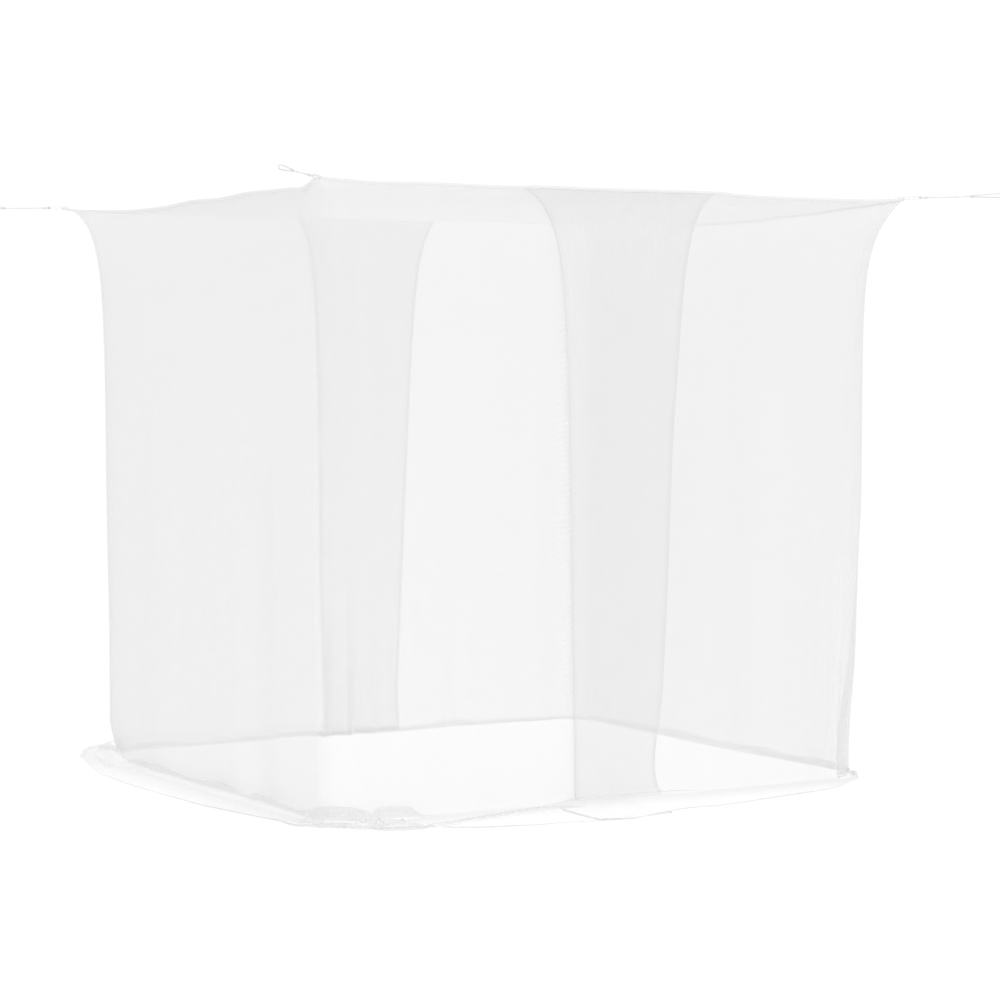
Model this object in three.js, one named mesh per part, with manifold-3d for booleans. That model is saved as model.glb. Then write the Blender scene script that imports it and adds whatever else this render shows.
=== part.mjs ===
// Mosquito net canopy: a box-shaped net hung by cords at its four roof corners, with its hem trailing
// on the floor. Two wall cloths, each wrapped round one end of the box, overlap in the middle of the
// front and of the back and leave a doorway there. Millimetres, +Z up. The origin is on the floor,
// under the middle of the net's outline.

import * as THREE from 'three';
import { mergeVertices } from 'three/addons/utils/BufferGeometryUtils.js';
import Module from 'manifold-3d';

// Driving sizes.
const roofLength = 2200; // between the pulled corners, along X
const roofWidth = 2000; // between the pulled corners, along Y
const roofCentre = new THREE.Vector2(45, 50); // the hem trails further at the front and left
const roofSag = 24; // how far the middle of the roof hangs below its edges
const edgeBow = 55; // how far the middle of a roof edge is drawn inwards
const footLength = 2000; // the walls' outline where they come down to the floor
const footWidth = 1820;
const footShift = -20; // the walls stand this far towards -X and -Y of the roof's centre
const footCornerRadius = 100;
const settleDepth = 95; // the walls leave the shape of the roof edge over about this depth
const settlePower = 0.7;
const standFrom = 900; // below this depth the walls that stand out at a corner lean back in
const standOver = 1000;
const swellOver = 700; // depth over which an upright fold comes to its full size
const clothThickness = 2;
const roofOverhang = 1; // the roof ends flush with the outside of the walls
const wallStart = 9; // the walls' top edge lies this far under the roof's edge
const bendRadius = 42; // largest turn from the wall to the floor
const bendShare = 0.6; // of the hem's reach, where that is short
const foldOut = 78; // the fold at the foot lies this far out from the wall
const foldHalfWidth = 62;

// Overlap of the two cloths: the gap between their middles.
const gapAtSeam = 3.5;
const gapOnWall = 12;
const gapOnFloor = 5;
const gapDepth = 200; // depth over which the gap opens below the seam
const gapMargin = 45; // the outer cloth stays clear this far past the inner cloth's edge
const gapRamp = 170; // and comes back to the wall over this width

// Edge tape, corner tabs and cords.
const tapeHeight = 9;
const tapeThickness = 2;
const tapeClearance = 0.8;
const tapeEndShare = 0.0032; // of a side, left free for the tab at each corner
const tabWidth = 12;
const tabThickness = 1.5;
const tabLift = 0.7; // the tab's upper leg lies this far above the roof
const tabRoot = -24; // along the roof's diagonal, from the corner outwards
const tabLowerRoot = 3;
const tabInnerHeight = 6;
const tabBendAt = 52;
const cordDiameter = 4;
const cordSides = 8;
const hitchRadius = 9.5;
const hitchCentre = 58.6;
const knotRadius = 5;
const knotLean = { x: 0.31, z: 1.37 }; // radians
const endKnotAt = 221;
const endLoopSteps = 52;

// Upper half of the cord's end loop, from inside its knot to its tip: distance out from the knot's
// middle, and height over it. The lower half is its mirror image.
const endLoopRoute = [
  { out: -1, up: 2.4 },
  { out: 12, up: 2.8 },
  { out: 36, up: 4.1 },
  { out: 62, up: 5.5 },
  { out: 88, up: 6.4 },
  { out: 106, up: 6.4 },
  { out: 117, up: 5.3 },
  { out: 122.3, up: 3.3 },
  { out: 124, up: 0 },
];

// The corners in order round the net: the height that each is pulled to, and its cord's rise.
const corners = [
  { name: 'front_left', signX: -1, signY: -1, height: 1947, rise: 0.02 },
  { name: 'front_right', signX: 1, signY: -1, height: 1946, rise: 0.015 },
  { name: 'back_right', signX: 1, signY: 1, height: 1947, rise: 0.03 },
  { name: 'back_left', signX: -1, signY: 1, height: 1946, rise: 0.01 },
];

// The sides, each from the corner of the same row to the next: its outward direction, and how far
// its roof edge hangs below the straight line between the corners. "at" runs from 0 to 1.
const sides = [
  {
    name: 'front',
    outX: 0,
    outY: -1,
    drops: [
      { at: 0, drop: 0 },
      { at: 0.045, drop: 5 },
      { at: 0.095, drop: 8 },
      { at: 0.18, drop: 4 },
      { at: 0.31, drop: 5 },
      { at: 0.36, drop: 1 },
      { at: 0.5, drop: 1 },
      { at: 0.67, drop: 0 },
      { at: 0.7, drop: 5 },
      { at: 0.76, drop: 9 },
      { at: 0.91, drop: 10 },
      { at: 0.965, drop: 7 },
      { at: 1, drop: 0 },
    ],
  },
  {
    name: 'right',
    outX: 1,
    outY: 0,
    drops: [
      { at: 0, drop: 0 },
      { at: 0.02, drop: 6 },
      { at: 0.077, drop: 15 },
      { at: 0.135, drop: 20 },
      { at: 0.26, drop: 34 },
      { at: 0.33, drop: 36 },
      { at: 0.4, drop: 44 },
      { at: 0.56, drop: 42 },
      { at: 0.75, drop: 27 },
      { at: 0.9, drop: 12 },
      { at: 1, drop: 0 },
    ],
  },
  {
    name: 'back',
    outX: 0,
    outY: 1,
    drops: [
      { at: 0, drop: 0 },
      { at: 0.1, drop: -3 },
      { at: 0.3, drop: -5 },
      { at: 0.6, drop: -7 },
      { at: 0.75, drop: 2 },
      { at: 0.88, drop: 9 },
      { at: 1, drop: 0 },
    ],
  },
  {
    name: 'left',
    outX: -1,
    outY: 0,
    drops: [
      { at: 0, drop: 0 },
      { at: 0.05, drop: 11 },
      { at: 0.117, drop: 19 },
      { at: 0.22, drop: 29 },
      { at: 0.29, drop: 32 },
      { at: 0.39, drop: 30 },
      { at: 0.5, drop: 21 },
      { at: 0.6, drop: 24 },
      { at: 0.715, drop: 17 },
      { at: 0.79, drop: 19 },
      { at: 0.9, drop: 23 },
      { at: 0.945, drop: 25 },
      { at: 1, drop: 0 },
    ],
  },
];

// Free edges of the cloths, in X from the roof's centre: at the seam, just below it, where the wall
// meets the floor, and at the end of the hem.
const freeEdges = {
  frontLeft: { side: 0, seam: 383, below: 255, foot: 165, hem: -5 },
  frontRight: { side: 0, seam: -377, below: -192, foot: -162, hem: -285 },
  backLeft: { side: 2, seam: 423, below: 280, foot: 190, hem: 195 },
  backRight: { side: 2, seam: -236, below: -146, foot: -130, hem: -150 },
};

// How the walls hang round the net: the depth and power of their settling, and how far they stand out
// beyond the line of their foot at half height.
const hangs = [
  { at: 0, depth: settleDepth, power: settlePower, stand: 14 },
  { at: 0.3, depth: settleDepth, power: settlePower, stand: 0 },
  { at: 0.68, depth: settleDepth, power: settlePower, stand: 0 },
  { at: 0.9, depth: 113, power: 0.95, stand: 32 },
  { at: 1, depth: 120, power: 1.05, stand: 40 },
  { at: 1.1, depth: 113, power: 0.95, stand: 34 },
  { at: 1.35, depth: settleDepth, power: settlePower, stand: 6 },
  { at: 1.7, depth: settleDepth, power: settlePower, stand: 0 },
  { at: 2, depth: settleDepth, power: settlePower, stand: 12 },
  { at: 2.3, depth: settleDepth, power: settlePower, stand: 0 },
  { at: 3.6, depth: settleDepth, power: settlePower, stand: 0 },
  { at: 4, depth: settleDepth, power: settlePower, stand: 14 },
];

// The cloths run round the net by side number plus share of the side. Each runs from the free edge
// "start" to the free edge "end"; "inner" is the edge of the other cloth that it lies over. Each has its
// hem's reach over the floor and the height of the fold at its foot, and swells, which are soft upright
// folds: how far each stands out, its half width, and the depth below the roof where it starts.
const cloths = [
  {
    name: 'wall_cloth_left',
    start: freeEdges.backLeft,
    end: freeEdges.frontLeft,
    firstSide: 2,
    inner: freeEdges.backRight,
    hem: [
      { at: 2.39, reach: 110 },
      { at: 2.44, reach: 205 },
      { at: 2.5, reach: 285 },
      { at: 2.66, reach: 305 },
      { at: 2.86, reach: 335 },
      { at: 2.9, reach: 322 },
      { at: 2.93, reach: 265 },
      { at: 2.962, reach: 190 },
      { at: 3.005, reach: 98 },
      { at: 3.04, reach: 106 },
      { at: 3.083, reach: 126 },
      { at: 3.14, reach: 153 },
      { at: 3.25, reach: 200 },
      { at: 3.382, reach: 214 },
      { at: 3.527, reach: 212 },
      { at: 3.64, reach: 204 },
      { at: 3.723, reach: 198 },
      { at: 3.782, reach: 180 },
      { at: 3.84, reach: 161 },
      { at: 3.9, reach: 142 },
      { at: 3.95, reach: 126 },
      { at: 3.98, reach: 140 },
      { at: 4, reach: 128 },
      { at: 4.02, reach: 165 },
      { at: 4.045, reach: 222 },
      { at: 4.08, reach: 236 },
      { at: 4.113, reach: 242 },
      { at: 4.165, reach: 298 },
      { at: 4.258, reach: 342 },
      { at: 4.3, reach: 345 },
      { at: 4.36, reach: 370 },
      { at: 4.422, reach: 398 },
      { at: 4.472, reach: 366 },
      { at: 4.6, reach: 320 },
    ],
    fold: [
      { at: 2.4, height: 4 },
      { at: 2.6, height: 9 },
      { at: 2.8, height: 18 },
      { at: 2.93, height: 26 },
      { at: 3.03, height: 10 },
      { at: 3.15, height: 8 },
      { at: 3.35, height: 16 },
      { at: 3.55, height: 19 },
      { at: 3.75, height: 27 },
      { at: 3.9, height: 31 },
      { at: 3.97, height: 20 },
      { at: 4.03, height: 34 },
      { at: 4.08, height: 14 },
      { at: 4.135, height: 30 },
      { at: 4.2, height: 9 },
      { at: 4.26, height: 22 },
      { at: 4.34, height: 6 },
      { at: 4.6, height: 4 },
    ],
    swells: [
      { at: 2.62, out: 9, halfWidth: 0.07, from: 900 },
      { at: 2.9, out: -8, halfWidth: 0.06, from: 400 },
      { at: 3.3, out: 7, halfWidth: 0.12, from: 300 },
      { at: 3.72, out: -8, halfWidth: 0.1, from: 500 },
      { at: 4.13, out: 8, halfWidth: 0.06, from: 700 },
      { at: 4.3, out: -6, halfWidth: 0.07, from: 300 },
    ],
  },
  {
    name: 'wall_cloth_right',
    start: freeEdges.frontRight,
    end: freeEdges.backRight,
    firstSide: 0,
    inner: freeEdges.frontLeft,
    hem: [
      { at: 0.36, reach: 372 },
      { at: 0.422, reach: 400 },
      { at: 0.472, reach: 367 },
      { at: 0.568, reach: 315 },
      { at: 0.605, reach: 311 },
      { at: 0.745, reach: 257 },
      { at: 0.792, reach: 238 },
      { at: 0.843, reach: 216 },
      { at: 0.897, reach: 180 },
      { at: 0.95, reach: 104 },
      { at: 1, reach: 34 },
      { at: 1.06, reach: 42 },
      { at: 1.177, reach: 34 },
      { at: 1.292, reach: 46 },
      { at: 1.383, reach: 68 },
      { at: 1.482, reach: 70 },
      { at: 1.59, reach: 93 },
      { at: 1.72, reach: 142 },
      { at: 1.843, reach: 136 },
      { at: 1.93, reach: 110 },
      { at: 2.007, reach: 82 },
      { at: 2.053, reach: 54 },
      { at: 2.103, reach: 44 },
      { at: 2.197, reach: 82 },
      { at: 2.24, reach: 108 },
      { at: 2.312, reach: 92 },
      { at: 2.6, reach: 112 },
    ],
    fold: [
      { at: 0.36, height: 4 },
      { at: 0.6, height: 5 },
      { at: 0.68, height: 12 },
      { at: 0.74, height: 4 },
      { at: 0.9, height: 10 },
      { at: 1, height: 16 },
      { at: 1.2, height: 8 },
      { at: 1.42, height: 20 },
      { at: 1.55, height: 9 },
      { at: 1.72, height: 22 },
      { at: 1.9, height: 8 },
      { at: 2.24, height: 24 },
      { at: 2.32, height: 6 },
      { at: 2.6, height: 4 },
    ],
    swells: [
      { at: 0.72, out: 7, halfWidth: 0.08, from: 300 },
      { at: 0.93, out: -12, halfWidth: 0.045, from: 800 },
      { at: 1.05, out: 14, halfWidth: 0.04, from: 900 },
      { at: 1.34, out: -9, halfWidth: 0.1, from: 300 },
      { at: 1.66, out: 8, halfWidth: 0.1, from: 600 },
      { at: 2.08, out: -8, halfWidth: 0.05, from: 500 },
      { at: 2.26, out: 13, halfWidth: 0.035, from: 1100 },
    ],
  },
];

// Where the cloths' grids have their rows, from the roof seam down, and their columns, as shares of
// a side from each corner.
const wallDepths = [wallStart, 16, 34, 65, 115, 195, 330, 600, 1050, 1500];
const bendTurns = [0, 0.35, 0.7, 1];
const floorShares = [0.22, 0.46, 0.72, 1];
const cornerShares = [0, 0.014, 0.03, 0.055, 0.095];
const plainShare = 0.09;

// The cord's run from its hitch at the tab to the knot of its end loop: distance out along the roof's
// diagonal from the corner, drift to the side, and height over the straight line.
const cordRoute = [
  { out: 74.1, side: 0, up: 0 },
  { out: 80, side: 0, up: -0.1 },
  { out: 89, side: 0.1, up: -0.3 },
  { out: 98, side: 0.3, up: -0.4 },
  { out: 108, side: 0.4, up: -0.6 },
  { out: 118, side: 0.4, up: -0.7 },
  { out: 128, side: 0.3, up: -0.8 },
  { out: 138, side: 0.1, up: -0.9 },
  { out: 148, side: -0.1, up: -0.9 },
  { out: 158, side: -0.3, up: -0.9 },
  { out: 168, side: -0.4, up: -0.8 },
  { out: 178, side: -0.4, up: -0.7 },
  { out: 188, side: -0.3, up: -0.5 },
  { out: 198, side: -0.1, up: -0.3 },
  { out: 208, side: 0, up: -0.1 },
  { out: 215.6, side: 0, up: 0 },
];
const cordSteps = 18;

const netMaterial = new THREE.MeshStandardMaterial({ color: '#f2f5f4', roughness: 0.9 });
const tapeMaterial = new THREE.MeshStandardMaterial({ color: '#e9ecea', roughness: 0.85 });
const cordMaterial = new THREE.MeshStandardMaterial({ color: '#e4e7e5', roughness: 0.8 });

const wasm = await Module();
wasm.setup();

// Value of a table's column at a place between its rows: a smooth curve through them, level beyond.
function valueAt(rows, key, at) {
  const last = rows.length - 1;
  if (at <= rows[0].at) return rows[0][key];
  if (at >= rows[last].at) return rows[last][key];
  let index = 0;
  while (at > rows[index + 1].at) index += 1;
  const slopeAt = (row) => {
    const before = rows[Math.max(row - 1, 0)];
    const after = rows[Math.min(row + 1, last)];
    return (after[key] - before[key]) / (after.at - before.at);
  };
  const span = rows[index + 1].at - rows[index].at;
  const share = (at - rows[index].at) / span;
  const rise = rows[index + 1][key] - rows[index][key];
  const startBend = slopeAt(index) * span - rise;
  const endBend = rise - slopeAt(index + 1) * span;
  const blend = share * (1 - share);
  return rows[index][key] + rise * share + blend * (startBend * (1 - share) + endBend * share);
}

// Rises smoothly from 0 to 1 as the share does.
function ease(share) {
  return THREE.MathUtils.smoothstep(share, 0, 1);
}

// How far the wall has left the shape of the roof edge for that of its foot, from 0 to 1.
function settled(depth, overDepth = settleDepth, power = settlePower) {
  return 1 - Math.exp(-((depth / overDepth) ** power));
}

// Splits a place round the net into its side and the share of that side.
function splitPlace(place) {
  const turn = place - 4 * Math.floor(place / 4);
  const side = Math.floor(turn);
  return { side, share: turn - side };
}

// A point of the roof's edge: the straight line between two corners, bowed inwards and hanging.
function roofEdgePoint(side, share, outset = 0) {
  const from = corners[side];
  const to = corners[(side + 1) % 4];
  const bow = outset - edgeBow * 4 * share * (1 - share);
  const drop = valueAt(sides[side].drops, 'drop', share);
  return new THREE.Vector3(
    (THREE.MathUtils.lerp(from.signX, to.signX, share) * roofLength) / 2 + sides[side].outX * bow,
    (THREE.MathUtils.lerp(from.signY, to.signY, share) * roofWidth) / 2 + sides[side].outY * bow,
    THREE.MathUtils.lerp(from.height, to.height, share) - drop,
  );
}

// Half the length of a side at the foot, and the length of its line with half of each corner's arc.
function footSide(side) {
  const half = (side % 2 === 0 ? footLength : footWidth) / 2;
  const straight = 2 * (half - footCornerRadius);
  const halfArc = (footCornerRadius * Math.PI) / 4;
  return { half, straight, halfArc, whole: straight + 2 * halfArc };
}

// A point of the walls' rounded outline at the foot, with its outward direction.
function footPoint(side, share) {
  const { half, straight, halfArc, whole } = footSide(side);
  const { half: depth } = footSide(side + 1);
  const run = share * whole;
  const past = run - halfArc - straight;
  let angle = 0;
  let lengthwise = run - halfArc - straight / 2;
  if (run < halfArc) {
    angle = (run - halfArc) / footCornerRadius;
    lengthwise = footCornerRadius - half;
  } else if (past > 0) {
    angle = past / footCornerRadius;
    lengthwise = half - footCornerRadius;
  }
  const { outX, outY } = sides[side];
  const alongX = -outY;
  const alongY = outX;
  const sine = Math.sin(angle);
  const cosine = Math.cos(angle);
  const ahead = lengthwise + footCornerRadius * sine;
  const outwards = depth - footCornerRadius + footCornerRadius * cosine;
  return {
    x: alongX * ahead + outX * outwards + footShift,
    y: alongY * ahead + outY * outwards + footShift,
    outX: alongX * sine + outX * cosine,
    outY: alongY * sine + outY * cosine,
  };
}

// The share of its side at which a free edge runs, at a depth below the roof or out on the floor.
function freeEdgeShare(edge, depth, floorShare) {
  const wallLine = THREE.MathUtils.lerp(edge.below, edge.foot, depth / corners[0].height);
  const onWall = THREE.MathUtils.lerp(edge.seam, wallLine, settled(depth));
  const x = THREE.MathUtils.lerp(onWall, edge.hem, floorShare) - footShift * settled(depth);
  const sideLength = THREE.MathUtils.lerp(roofLength, footSide(edge.side).whole, settled(depth));
  return 0.5 + (edge.side === 0 ? x : -x) / sideLength;
}

// Sum of a cloth's upright folds at a place: cosine bells that grow with depth.
function swellAt(cloth, place, depth) {
  let out = 0;
  for (const swell of cloth.swells) {
    const away = Math.min(Math.abs(place - swell.at) / swell.halfWidth, 1);
    const grown = ease((depth - swell.from) / swellOver);
    out += swell.out * grown * (0.5 + 0.5 * Math.cos(Math.PI * away));
  }
  return out;
}

// Middle of the cloth at a place round the net and a row of its grid.
function clothPoint(cloth, place, row) {
  const { side, share } = splitPlace(place);
  const edge = roofEdgePoint(side, share);
  const foot = footPoint(side, share);
  const reach = valueAt(cloth.hem, 'reach', place);
  const radius = Math.min(bendRadius, reach * bendShare);
  const depth = row.zone === 'wall' ? row.depth : edge.z - radius;
  const hang = (key) => valueAt(hangs, key, side + share);
  const weight = settled(depth, hang('depth'), hang('power'));
  const stand = hang('stand') * weight * (1 - ease((depth - standFrom) / standOver));
  const angle = (row.turn * Math.PI) / 2;
  let out = (stand + swellAt(cloth, place, depth)) * (1 - row.turn);
  let height = edge.z - depth;
  if (row.zone !== 'wall') {
    out += radius * (1 - Math.cos(angle)) + row.floor * (reach - radius);
    const away = Math.min(Math.abs(out - foldOut) / foldHalfWidth, 1);
    const fold = valueAt(cloth.fold, 'height', place) * (0.5 + 0.5 * Math.cos(Math.PI * away));
    height = radius * (1 - Math.sin(angle)) + fold * row.turn + clothThickness / 2;
  }
  return new THREE.Vector3(
    THREE.MathUtils.lerp(edge.x, foot.x, weight) + foot.outX * out,
    THREE.MathUtils.lerp(edge.y, foot.y, weight) + foot.outY * out,
    height,
  );
}

// How far the outer cloth of an overlap stands off the inner one: the full gap as far as the inner
// cloth's edge, then back to nothing.
function overlapGap(cloth, place, row) {
  const depth = row.zone === 'wall' ? row.depth : corners[0].height - bendRadius;
  const { side, share } = splitPlace(place);
  if (side !== cloth.inner.side) return 0;
  const innerShare = freeEdgeShare(cloth.inner, depth, row.floor);
  const past = (share - innerShare) * footSide(side).whole - gapMargin;
  const ramp = 1 - ease(past / gapRamp);
  const opened = THREE.MathUtils.lerp(gapAtSeam, gapOnWall, ease(depth / gapDepth));
  return ramp * THREE.MathUtils.lerp(opened, gapOnFloor, row.turn);
}

// Rows of every cloth: down the wall, round the bend and out over the floor.
function clothRows() {
  return [
    ...wallDepths.map((depth) => ({ zone: 'wall', depth, turn: 0, floor: 0 })),
    ...bendTurns.map((turn) => ({ zone: 'bend', depth: 0, turn, floor: 0 })),
    ...floorShares.map((floor) => ({ zone: 'floor', depth: 0, turn: 1, floor })),
  ];
}

// Columns of one side, from share to share, close together near the corners.
function sideColumns(from, to, cornerAtStart, cornerAtEnd) {
  const head = cornerAtStart ? cornerShares.map((share) => from + share) : [from];
  const tail = cornerAtEnd ? cornerShares.map((share) => to - share).reverse() : [to];
  const start = head[head.length - 1];
  const end = tail[0];
  const count = Math.max(1, Math.round((end - start) / plainShare));
  const middle = [];
  for (let index = 1; index < count; index += 1) {
    middle.push(start + ((end - start) * index) / count);
  }
  return [...head, ...middle, ...tail];
}

// Places of a cloth's columns in one row, from its first free edge round to its last. The number of
// columns is that of the straight wall, so that every row has as many.
function clothColumns(cloth, row) {
  const depth = row.zone === 'wall' ? row.depth : corners[0].height;
  const startShare = freeEdgeShare(cloth.start, depth, row.floor);
  const endShare = freeEdgeShare(cloth.end, depth, row.floor);
  const plainStart = freeEdgeShare(cloth.start, corners[0].height, 0);
  const plainEnd = freeEdgeShare(cloth.end, corners[0].height, 0);
  const fixedFrom = 1 - cornerShares[cornerShares.length - 1];
  const fixedTo = cornerShares[cornerShares.length - 1];
  const stretched = (share) => {
    if (share < fixedFrom) {
      const part = (share - plainStart) / (fixedFrom - plainStart);
      return THREE.MathUtils.lerp(startShare, fixedFrom, part);
    }
    return share;
  };
  const stretchedEnd = (share) => {
    if (share > fixedTo) {
      return THREE.MathUtils.lerp(fixedTo, endShare, (share - fixedTo) / (plainEnd - fixedTo));
    }
    return share;
  };
  const first = sideColumns(plainStart, 1, false, true).map(stretched);
  const second = sideColumns(0, 1, true, true).slice(1);
  const third = sideColumns(0, plainEnd, true, false).slice(1).map(stretchedEnd);
  return [
    ...first.map((share) => cloth.firstSide + share),
    ...second.map((share) => cloth.firstSide + 1 + share),
    ...third.map((share) => cloth.firstSide + 2 + share),
  ];
}

// Outward direction of a grid of points at one of them, from its neighbours.
function gridNormal(grid, row, column) {
  const up = grid[Math.max(row - 1, 0)][column];
  const down = grid[Math.min(row + 1, grid.length - 1)][column];
  const before = grid[row][Math.max(column - 1, 0)];
  const after = grid[row][Math.min(column + 1, grid[row].length - 1)];
  const downwards = new THREE.Vector3().subVectors(down, up);
  const onwards = new THREE.Vector3().subVectors(after, before);
  return downwards.cross(onwards).normalize();
}

// Every point of a grid moved along its outward direction by a distance, which may vary.
function offsetGrid(grid, distance) {
  return grid.map((points, row) => points.map((point, column) => {
    const shift = typeof distance === 'function' ? distance(row, column) : distance;
    return point.clone().addScaledVector(gridNormal(grid, row, column), shift);
  }));
}

// Closed sheet of the cloth's thickness about a grid of points: two faces and the four edges.
function sheetGeometry(grid, thickness) {
  const front = offsetGrid(grid, thickness / 2);
  const back = offsetGrid(grid, -thickness / 2);
  const rows = grid.length;
  const columns = grid[0].length;
  const positions = [...front.flat(), ...back.flat()].flatMap((point) => [point.x, point.y, point.z]);
  const frontAt = (row, column) => row * columns + column;
  const backAt = (row, column) => rows * columns + frontAt(row, column);
  const indices = [];
  const quad = (a, b, c, d) => indices.push(a, b, c, a, c, d);
  for (let row = 0; row < rows - 1; row += 1) {
    for (let column = 0; column < columns - 1; column += 1) {
      const next = column + 1;
      quad(frontAt(row, column), frontAt(row + 1, column), frontAt(row + 1, next), frontAt(row, next));
      quad(backAt(row, column), backAt(row, next), backAt(row + 1, next), backAt(row + 1, column));
    }
    const end = columns - 1;
    quad(frontAt(row, 0), backAt(row, 0), backAt(row + 1, 0), frontAt(row + 1, 0));
    quad(frontAt(row, end), frontAt(row + 1, end), backAt(row + 1, end), backAt(row, end));
  }
  for (let column = 0; column < columns - 1; column += 1) {
    const next = column + 1;
    const end = rows - 1;
    quad(frontAt(0, column), frontAt(0, next), backAt(0, next), backAt(0, column));
    quad(frontAt(end, column), backAt(end, column), backAt(end, next), frontAt(end, next));
  }
  const geometry = new THREE.BufferGeometry();
  geometry.setAttribute('position', new THREE.Float32BufferAttribute(positions, 3));
  geometry.setIndex(indices);
  return geometry;
}

// One wall cloth, wrapped round its end of the net from one doorway to the other.
function wallCloth(cloth) {
  const rows = clothRows();
  const places = rows.map((row) => clothColumns(cloth, row));
  const middle = rows.map((row, index) => places[index].map((place) => clothPoint(cloth, place, row)));
  const shifted = offsetGrid(middle, (row, column) => overlapGap(cloth, places[row][column], rows[row]));
  return sheetGeometry(shifted, clothThickness);
}

// The roof: a surface spanned by the four hanging edges, with its middle lower.
function roofPanel() {
  const shares = sideColumns(0, 1, true, true);
  const grid = shares.map((v) => {
    const points = [];
    shares.forEach((u) => {
      const front = roofEdgePoint(0, u, roofOverhang);
      const back = roofEdgePoint(2, 1 - u, roofOverhang);
      const left = roofEdgePoint(3, 1 - v, roofOverhang);
      const right = roofEdgePoint(1, v, roofOverhang);
      const point = new THREE.Vector3();
      point.addScaledVector(front, 1 - v).addScaledVector(back, v);
      point.addScaledVector(left, 1 - u).addScaledVector(right, u);
      const ends = [
        { corner: roofEdgePoint(0, 0), weight: (1 - u) * (1 - v) },
        { corner: roofEdgePoint(0, 1), weight: u * (1 - v) },
        { corner: roofEdgePoint(2, 0), weight: u * v },
        { corner: roofEdgePoint(2, 1), weight: (1 - u) * v },
      ];
      ends.forEach(({ corner, weight }) => point.addScaledVector(corner, -weight));
      point.z -= roofSag * 16 * u * (1 - u) * v * (1 - v) + clothThickness / 2;
      points.push(point);
    });
    return points;
  });
  return sheetGeometry(grid.reverse(), clothThickness);
}

// Tape sewn round the outside of one roof edge: an upright strip that follows it.
function edgeTape(side) {
  const upper = [];
  const lower = [];
  const outerCloth = cloths.find((cloth) => cloth.inner.side === side);
  const shares = sideColumns(0, 1, true, true).slice(1, -1);
  [tapeEndShare, ...shares, 1 - tapeEndShare].forEach((share) => {
    const row = { zone: 'wall', depth: tapeHeight, turn: 0, floor: 0 };
    const gap = outerCloth ? overlapGap(outerCloth, outerCloth.firstSide + share, row) : 0;
    const inner = clothThickness / 2 + tapeClearance + gap;
    const top = roofEdgePoint(side, share, inner + tapeThickness / 2);
    upper.push(top);
    lower.push(top.clone().setZ(top.z - tapeHeight));
  });
  return sheetGeometry([upper, lower], tapeThickness);
}

// Moves a geometry made along +X, with +Y to its left, out along the roof's diagonal at a corner.
function atCorner(geometry, corner) {
  const angle = Math.atan2(corner.signY, corner.signX);
  const slope = Math.atan(corner.rise);
  const place = new THREE.Matrix4().makeRotationZ(angle);
  place.multiply(new THREE.Matrix4().makeRotationY(-slope));
  place.setPosition((corner.signX * roofLength) / 2, (corner.signY * roofWidth) / 2, corner.height);
  return geometry.applyMatrix4(place);
}

// Height of the cord's axis below the corner: the middle of the tab's loop.
const cordLevel = tabLift - tabInnerHeight / 2;

// Tab at a corner: a tape folded back on itself, its upper leg on the roof, its bend outwards.
function cornerTab(corner) {
  const inner = tabInnerHeight / 2;
  const outer = inner + tabThickness;
  const profile = new THREE.Shape();
  profile.moveTo(tabRoot, cordLevel + outer);
  profile.lineTo(tabRoot, cordLevel + inner);
  profile.lineTo(tabBendAt, cordLevel + inner);
  profile.absarc(tabBendAt, cordLevel, inner, Math.PI / 2, -Math.PI / 2, true);
  profile.lineTo(tabLowerRoot, cordLevel - inner);
  profile.lineTo(tabLowerRoot, cordLevel - outer);
  profile.lineTo(tabBendAt, cordLevel - outer);
  profile.absarc(tabBendAt, cordLevel, outer, -Math.PI / 2, Math.PI / 2, false);
  const geometry = new THREE.ExtrudeGeometry(profile, {
    depth: tabWidth,
    bevelEnabled: false,
    curveSegments: 8,
  });
  geometry.rotateX(Math.PI / 2);
  geometry.translate(0, tabWidth / 2, 0);
  return atCorner(geometry, corner);
}

// Round section of a cord.
function cordSection() {
  const points = [];
  for (let index = 0; index < cordSides; index += 1) {
    const angle = (2 * Math.PI * index) / cordSides;
    const radius = cordDiameter / 2;
    points.push(new THREE.Vector2(radius * Math.cos(angle), radius * Math.sin(angle)));
  }
  return new THREE.Shape(points);
}

// Cord along a curve through points.
function cordAlong(points, steps) {
  return new THREE.ExtrudeGeometry(cordSection(), {
    steps,
    bevelEnabled: false,
    extrudePath: new THREE.CatmullRomCurve3(points),
  });
}

// A closed geometry as a solid that can be joined.
function toSolid(geometry) {
  const bare = geometry.clone();
  bare.deleteAttribute('normal');
  bare.deleteAttribute('uv');
  const merged = mergeVertices(bare, 1e-3);
  const vertProperties = new Float32Array(merged.attributes.position.array);
  const triVerts = new Uint32Array(merged.index.array);
  return new wasm.Manifold(new wasm.Mesh({ numProp: 3, vertProperties, triVerts }));
}

// Two closed geometries joined into one.
function joined(first, second) {
  const mesh = toSolid(first).add(toSolid(second)).getMesh();
  const geometry = new THREE.BufferGeometry();
  geometry.setAttribute('position', new THREE.BufferAttribute(mesh.vertProperties, 3));
  geometry.setIndex(new THREE.BufferAttribute(mesh.triVerts, 1));
  return geometry;
}

// A knot: a small lump that sits a little askew on the cord.
function knot(centre) {
  const lump = new THREE.SphereGeometry(knotRadius, 10, 7);
  lump.rotateX(knotLean.x);
  lump.rotateZ(knotLean.z);
  lump.translate(centre, 0, cordLevel);
  return lump;
}

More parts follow.
